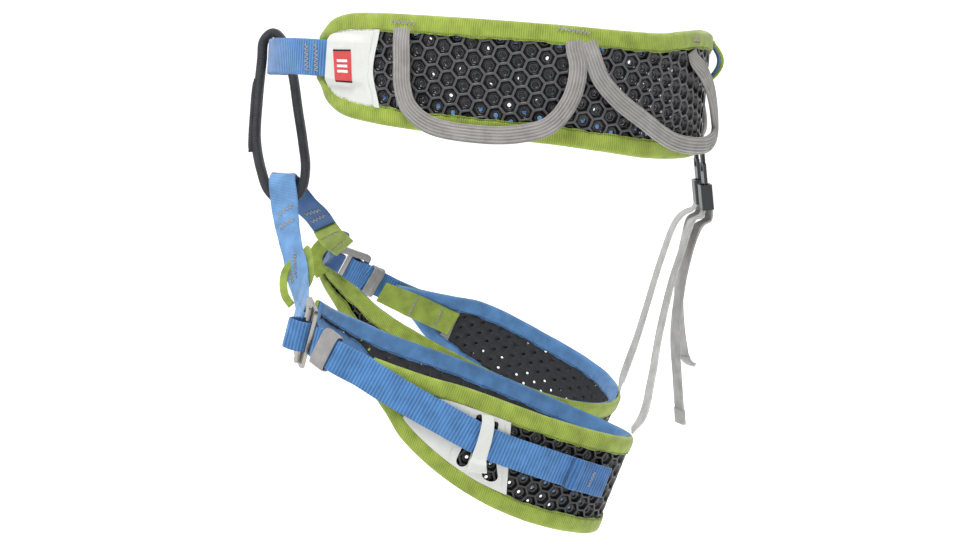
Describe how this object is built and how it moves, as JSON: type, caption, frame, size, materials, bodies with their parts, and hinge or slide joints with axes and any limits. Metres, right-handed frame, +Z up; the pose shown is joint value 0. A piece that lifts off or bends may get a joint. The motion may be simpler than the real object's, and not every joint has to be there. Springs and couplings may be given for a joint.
{
  "type": "climbing harness",
  "caption": "sit harness with padded waist belt and leg loops, sewn belay loop, gear loops, steel slider buckles and clip-off elastic rear straps",
  "frame": {"origin": "the middle of the waist opening, level with the middle of the belt", "axes": "+Z up, -Y to the wearer's front, +X to the wearer's left; stored hanging from the belt as worn"},
  "size_m": [0.3424, 0.3428, 0.3609],
  "materials": {
    "green_binding": "woven matt",
    "blue_binding": "woven matt",
    "blue_webbing": "ribbed webbing",
    "eva_foam": "semi-gloss",
    "grey_cloth": "woven matt",
    "red_label": "woven satin",
    "grey_tape": "tubular woven",
    "black_webbing": "woven matt",
    "steel": "satin",
    "black_plastic": "satin",
    "elastic": "knitted matt"
  },
  "bodies": {
    "waist": {"waist_foam": "eva_foam", "waist_binding_outer": "green_binding", "waist_binding_inner": "blue_binding", "waist_end_patch_left": "grey_cloth", "waist_end_patch_right": "grey_cloth", "waist_label": "red_label", "tie_in_webbing": "blue_webbing", "waist_strap": "blue_webbing", "waist_buckle_frame": "steel", "haul_loop": "green_binding", "rear_hanger_left": "black_webbing", "rear_hanger_right": "black_webbing", "rear_buckle_male_left": "black_plastic", "rear_buckle_male_right": "black_plastic"},
    "waist_slider": {"waist_buckle_slider": "steel"},
    "waist_keeper": {"waist_keeper": "elastic"},
    "belay_loop": {"belay_loop": "black_webbing"},
    "legs": {"leg_bridge": "blue_webbing", "leg_left_foam": "eva_foam", "leg_left_binding_outer": "green_binding", "leg_left_binding_inner": "blue_binding", "leg_left_patch": "grey_cloth", "leg_left_lining_strip": "grey_tape", "leg_left_inner_tab": "green_binding", "leg_left_strap": "blue_webbing", "leg_left_buckle_frame": "steel", "leg_left_strap_guide": "grey_cloth", "leg_left_front_tab": "green_binding", "rear_buckle_female_left": "black_plastic", "rear_strap_left": "elastic", "rear_strap_tail_left": "elastic", "leg_right_foam": "eva_foam", "leg_right_binding_outer": "green_binding", "leg_right_binding_inner": "blue_binding", "leg_right_patch": "grey_cloth", "leg_right_lining_strip": "grey_tape", "leg_right_inner_tab": "green_binding", "leg_right_strap": "blue_webbing", "leg_right_buckle_frame": "steel", "leg_right_strap_guide": "grey_cloth", "leg_right_front_tab": "green_binding", "rear_buckle_female_right": "black_plastic", "rear_strap_right": "elastic", "rear_strap_tail_right": "elastic"},
    "gear_loop_left_front": {"gear_loop_left_front": "grey_tape"},
    "gear_loop_left_rear": {"gear_loop_left_rear": "grey_tape"},
    "leg_left_slider": {"leg_left_buckle_slider": "steel"},
    "leg_left_keeper": {"leg_left_keeper": "elastic"},
    "gear_loop_right_front": {"gear_loop_right_front": "grey_tape"},
    "gear_loop_right_rear": {"gear_loop_right_rear": "grey_tape"},
    "leg_right_slider": {"leg_right_buckle_slider": "steel"},
    "leg_right_keeper": {"leg_right_keeper": "elastic"}
  },
  "joints": [
    {"name": "belay_loop_lift", "type": "slide", "parent": "waist", "child": "belay_loop", "axis": [0, 0, 1], "range_m": [0, 0.004]},
    {"name": "legs_drop", "type": "hinge", "parent": "waist", "child": "legs", "pos_m": [0, -0.1505, -0.066], "axis": [1, 0, 0], "range_deg": [-25, 0]},
    {"name": "gear_loop_left_front_swing", "type": "hinge", "parent": "waist", "child": "gear_loop_left_front", "pos_m": [0.11572, -0.00078, 0.03172], "axis": [-0.1552, -0.9848, 0.0775], "range_deg": [0, 60]},
    {"name": "gear_loop_left_rear_swing", "type": "hinge", "parent": "waist", "child": "gear_loop_left_rear", "pos_m": [0.09711, 0.10432, 0.02345], "axis": [0.5655, -0.8222, 0.0647], "range_deg": [0, 60]},
    {"name": "gear_loop_right_front_swing", "type": "hinge", "parent": "waist", "child": "gear_loop_right_front", "pos_m": [-0.11572, -0.00078, 0.03172], "axis": [-0.1552, 0.9848, -0.0775], "range_deg": [0, 60]},
    {"name": "gear_loop_right_rear_swing", "type": "hinge", "parent": "waist", "child": "gear_loop_right_rear", "pos_m": [-0.09711, 0.10432, 0.02345], "axis": [0.5655, 0.8222, -0.0647], "range_deg": [0, 60]},
    {"name": "waist_slider_slide", "type": "slide", "parent": "waist", "child": "waist_slider", "axis": [-0.5667, 0.8219, -0.0579], "range_m": [-0.001, 0.001]},
    {"name": "leg_left_slider_slide", "type": "slide", "parent": "legs", "child": "leg_left_slider", "axis": [0.9418, 0.2536, -0.2204], "range_m": [-0.001, 0.001]},
    {"name": "leg_right_slider_slide", "type": "slide", "parent": "legs", "child": "leg_right_slider", "axis": [-0.56, 0.7536, -0.3441], "range_m": [-0.001, 0.001]},
    {"name": "waist_keeper_slide", "type": "slide", "parent": "waist", "child": "waist_keeper", "axis": [-0.4727, 0.8782, -0.0722], "range_m": [-0.002, 0.001]},
    {"name": "leg_left_keeper_slide", "type": "slide", "parent": "legs", "child": "leg_left_keeper", "axis": [0.5921, 0.7031, -0.3938], "range_m": [0, 0.004]},
    {"name": "leg_right_keeper_slide", "type": "slide", "parent": "legs", "child": "leg_right_keeper", "axis": [-0.4798, 0.7787, -0.4042], "range_m": [0, 0.004]}
  ]
}
